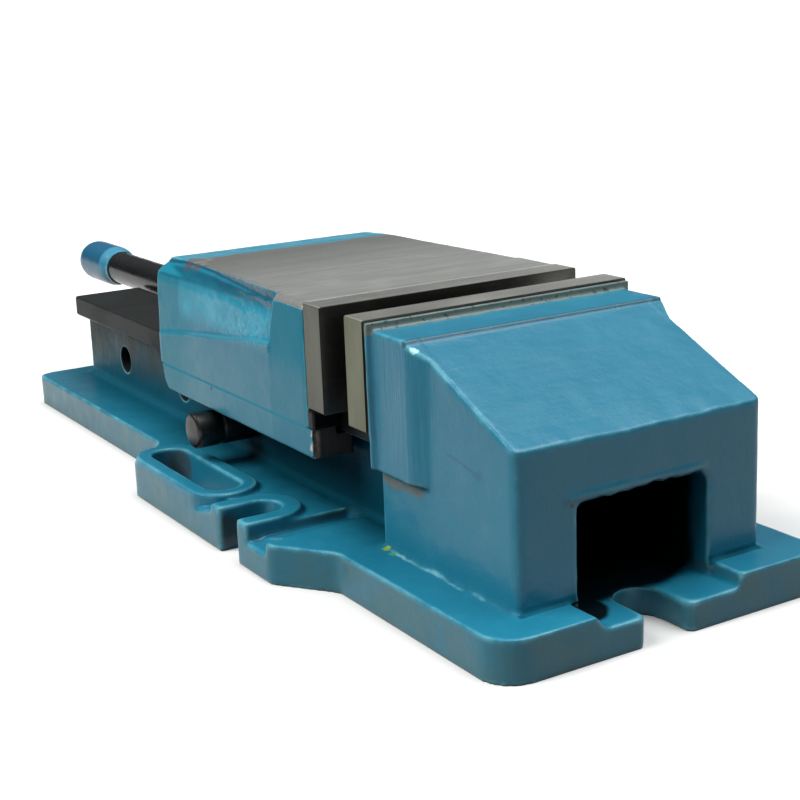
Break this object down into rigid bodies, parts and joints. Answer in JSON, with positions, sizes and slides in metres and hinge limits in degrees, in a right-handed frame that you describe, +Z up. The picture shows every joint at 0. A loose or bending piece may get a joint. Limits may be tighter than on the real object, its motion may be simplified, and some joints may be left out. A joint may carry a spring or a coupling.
{
  "type": "hydraulic machine vise",
  "caption": "Cast machine vise: long slotted bed with fixed jaw block, sliding moving jaw on ground rails, locating pin, and hollow spindle with a hydraulic booster.",
  "frame": {"origin": "middle of the vise's box at the height of the base face that rests on the machine table", "axes": "+X from the spindle end towards the fixed jaw end, along the feed; +Y across the jaws; +Z up from the base face"},
  "size_m": [0.706, 0.235, 0.1356],
  "materials": {
    "blue_enamel": "thick glossy blue enamel over cast iron, ground bare on the sliding and seating faces",
    "hardened_plate": "hardened steel, surface ground",
    "black_oxide": "black oxide on steel, oiled",
    "bronze": "turned bronze",
    "tool_steel": "turned and ground steel",
    "pin_steel": "dark turned steel",
    "spring_steel": "drawn spring wire",
    "seal_rubber": "moulded nitrile"
  },
  "bodies": {
    "bed": {"bed_casting": "blue_enamel", "fixed_jaw_plate": "hardened_plate", "fixed_plate_screw_near": "black_oxide", "fixed_plate_screw_far": "black_oxide", "nut_block": "tool_steel", "spindle_nut": "bronze", "nut_set_screw": "black_oxide"},
    "pin": {"locating_pin": "pin_steel"},
    "moving_jaw": {"moving_jaw_casting": "blue_enamel", "moving_jaw_plate": "hardened_plate", "moving_plate_screw_near": "black_oxide", "moving_plate_screw_far": "black_oxide", "keep_strip_near": "blue_enamel", "keep_strip_far": "blue_enamel", "keep_strip_screw_near_1": "black_oxide", "keep_strip_screw_near_2": "black_oxide", "keep_strip_screw_near_3": "black_oxide", "keep_strip_screw_far_1": "black_oxide", "keep_strip_screw_far_2": "black_oxide", "keep_strip_screw_far_3": "black_oxide", "spindle_bush": "bronze", "thrust_pad": "tool_steel"},
    "spindle": {"spindle_sleeve": "black_oxide", "booster_collar": "blue_enamel", "retract_ring": "tool_steel", "piston_key_screw": "black_oxide", "oil_fill_screw": "black_oxide", "clutch_spring": "spring_steel", "return_spring": "spring_steel", "primary_cylinder": "tool_steel", "primary_seal": "seal_rubber"},
    "drive": {"drive_shaft": "tool_steel"},
    "primary": {"primary_piston": "tool_steel"},
    "output": {"output_piston": "tool_steel", "output_seal": "seal_rubber", "push_rod": "tool_steel"}
  },
  "joints": [
    {"name": "pin_pull", "type": "slide", "parent": "bed", "child": "pin", "axis": [0, -1, 0], "range_m": [0, 0.11]},
    {"name": "jaw_feed", "type": "slide", "parent": "bed", "child": "moving_jaw", "axis": [1, 0, 0], "range_m": [-0.075, 0.025]},
    {"name": "spindle_turn", "type": "hinge", "parent": "moving_jaw", "child": "spindle", "pos_m": [-0.0343, 0, 0.0845], "axis": [1, 0, 0], "range_deg": [-5401, 1801]},
    {"name": "booster_turn", "type": "hinge", "parent": "spindle", "child": "drive", "pos_m": [-0.309, 0, 0.0845], "axis": [1, 0, 0], "range_deg": [-1, 721]},
    {"name": "primary_stroke", "type": "slide", "parent": "spindle", "child": "primary", "axis": [1, 0, 0], "range_m": [0, 0.006]},
    {"name": "output_stroke", "type": "slide", "parent": "spindle", "child": "output", "axis": [1, 0, 0], "range_m": [-0.00002, 0.00102]}
  ],
  "couplings": [
    {"joint": "spindle_turn", "follows": "jaw_feed", "rad_per_m": 1256.6},
    {"joint": "booster_turn", "follows": "primary_stroke", "rad_per_m": 2094.4},
    {"joint": "output_stroke", "follows": "primary_stroke", "ratio": 0.16659}
  ]
}
